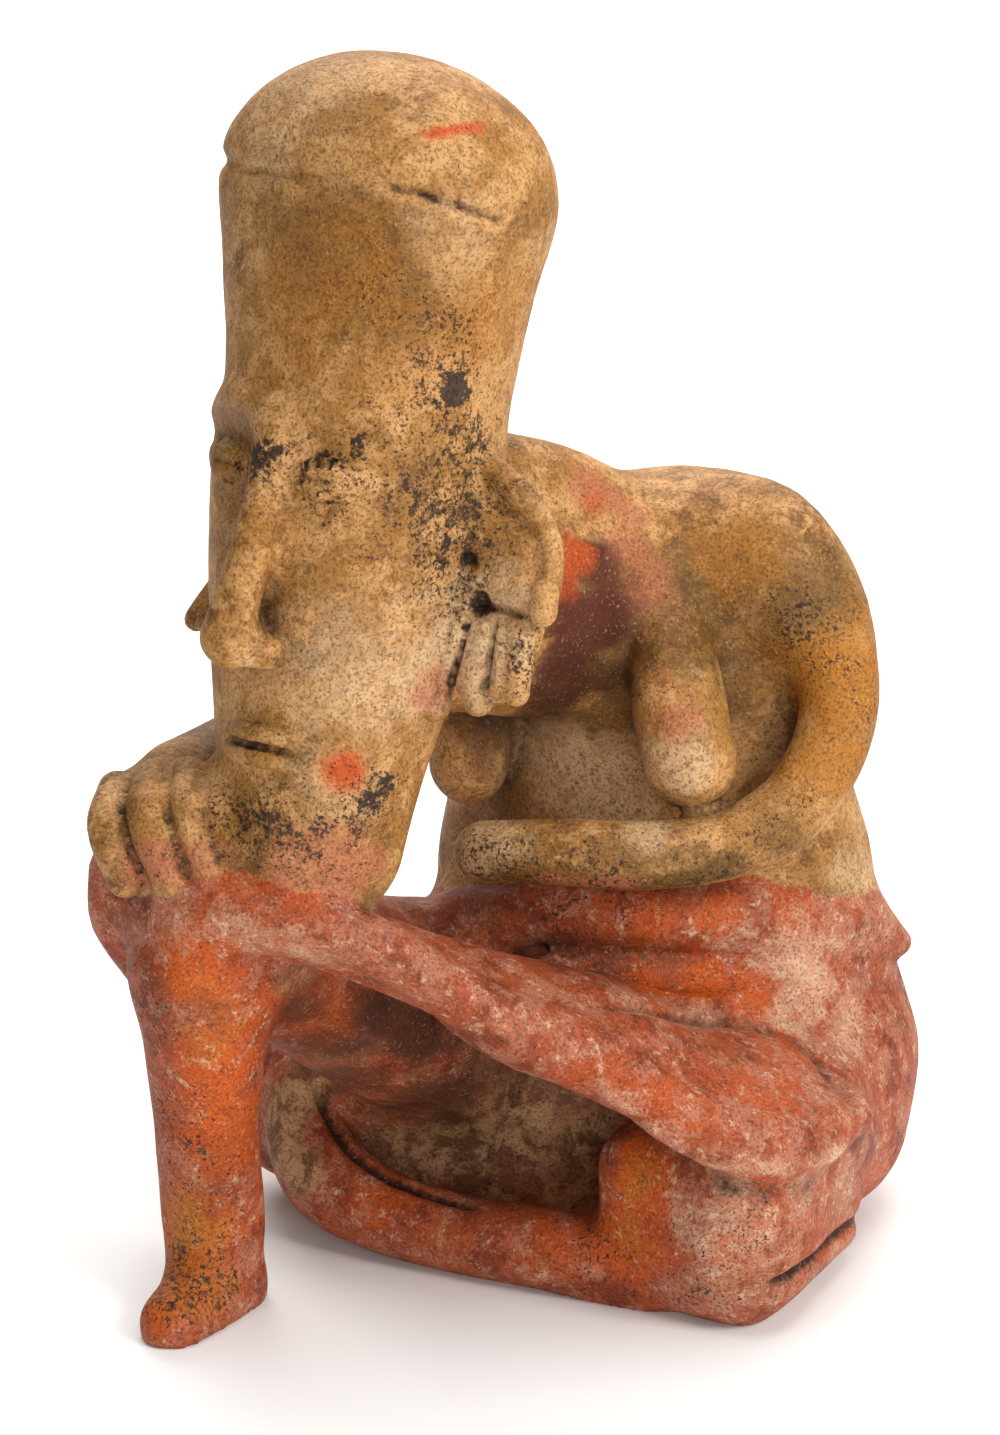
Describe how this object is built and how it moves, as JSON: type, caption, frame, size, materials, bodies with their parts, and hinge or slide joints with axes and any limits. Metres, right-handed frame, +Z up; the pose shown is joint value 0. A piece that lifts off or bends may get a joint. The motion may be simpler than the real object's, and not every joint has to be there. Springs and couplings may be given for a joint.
{
  "type": "jalisco figurine",
  "caption": "Hand-built fired clay figurine of a seated woman with a tall crown, chin on her raised knee, standing on its own flat underside.",
  "frame": {"origin": "centre of the bounding box, on the ground plane", "axes": "+Z up along the height, the display front towards -Y, +X to the viewer's right"},
  "size_m": [0.251, 0.199, 0.3699],
  "materials": {
    "fired_clay": "matt burnished slip, worn"
  },
  "bodies": {
    "root": {"seated_figure": "fired_clay"}
  },
  "joints": []
}
